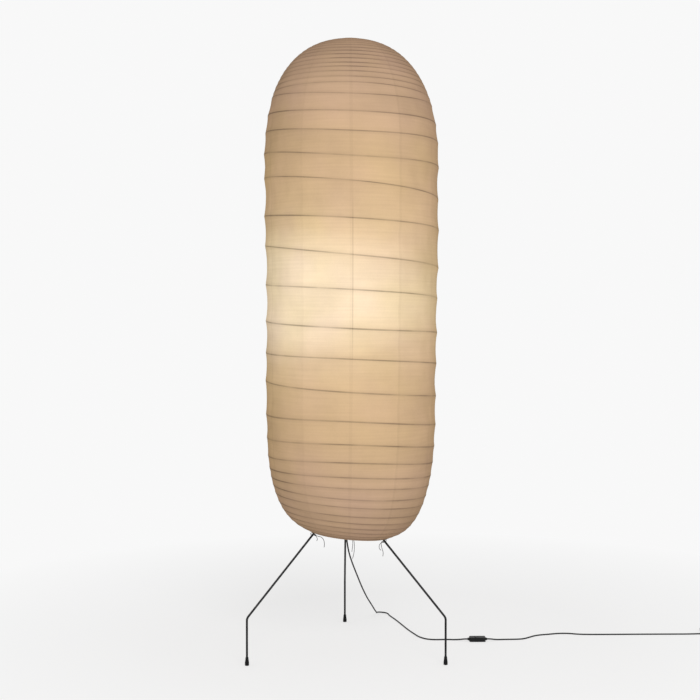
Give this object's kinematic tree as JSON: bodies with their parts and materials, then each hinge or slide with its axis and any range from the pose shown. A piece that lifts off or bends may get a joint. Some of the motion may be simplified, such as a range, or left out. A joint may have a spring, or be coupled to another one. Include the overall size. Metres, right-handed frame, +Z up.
{
  "type": "paper lantern floor lamp",
  "caption": "Tall pale paper lantern shade on a spiral rib, held over a slim black tripod of bent rods, with an in-line rocker switch and plug.",
  "frame": {"origin": "on the floor, in the middle of the three feet", "axes": "+Z up, -Y towards the front, +X to the right, the rear leg at +Y"},
  "size_m": [1.581, 0.7405, 1.9159],
  "materials": {
    "black_steel": "satin",
    "foot_rubber": "matte",
    "zinc_steel": "satin",
    "shade_paper": "matte",
    "rib_bamboo": "satin",
    "spacing_thread": "matte",
    "tie_string": "matte",
    "lead_pvc": "matte",
    "switch_plastic": "satin",
    "holder_phenolic": "satin",
    "holder_porcelain": "gloss",
    "brass": "satin",
    "nickel": "satin",
    "opal_glass": "gloss"
  },
  "bodies": {
    "stand": {"foot_left": "foot_rubber", "foot_right": "foot_rubber", "foot_rear": "foot_rubber", "leg_left": "black_steel", "leg_right": "black_steel", "leg_rear": "black_steel", "leg_hub": "black_steel", "leg_set_screws": "zinc_steel", "socket_screw": "zinc_steel", "mast_lower": "black_steel", "holder_bracket": "black_steel", "bracket_set_screws": "zinc_steel", "mast_upper": "black_steel", "mast_collar": "black_steel", "collar_screw": "zinc_steel", "cord_grip": "foot_rubber", "inner_lead": "lead_pvc", "holder_nipple": "zinc_steel", "nipple_nut": "zinc_steel", "holder_cap": "holder_phenolic", "holder_barrel": "holder_phenolic", "holder_insert": "holder_porcelain", "screw_shell": "brass", "centre_contact": "brass", "holder_terminals": "brass", "tie_string_left": "tie_string", "tie_string_right": "tie_string", "tie_string_rear": "tie_string", "cord_upper": "lead_pvc", "switch_base": "switch_plastic", "switch_cover": "switch_plastic", "switch_terminals": "brass", "switch_leads": "lead_pvc", "switch_collars": "foot_rubber", "switch_screws": "zinc_steel", "cord_lower": "lead_pvc", "cord_coil": "lead_pvc", "coil_tie": "switch_plastic", "cord_tail": "lead_pvc", "plug_body": "switch_plastic", "plug_relief": "switch_plastic", "plug_pins": "nickel"},
    "shade": {"paper_shade": "shade_paper", "rib_spiral": "rib_bamboo", "spacing_threads": "spacing_thread", "top_ring": "zinc_steel", "top_spider": "zinc_steel", "bottom_ring": "zinc_steel"},
    "bulb": {"bulb_glass": "opal_glass", "bulb_cap": "nickel", "bulb_insulator": "holder_phenolic", "bulb_contact": "nickel"},
    "rocker": {"switch_rocker": "switch_plastic"}
  },
  "joints": [
    {"name": "shade_lift", "type": "slide", "parent": "stand", "child": "shade", "axis": [0.0105, 0, 0.9999], "range_m": [0, 1.62]},
    {"name": "bulb_lift", "type": "slide", "parent": "stand", "child": "bulb", "axis": [0.0105, 0, 0.9999], "range_m": [0, 0.06]},
    {"name": "rocker_press", "type": "hinge", "parent": "stand", "child": "rocker", "pos_m": [0.4285, 0.092, 0.0106], "axis": [0, -1, 0], "range_deg": [0, 12]}
  ]
}
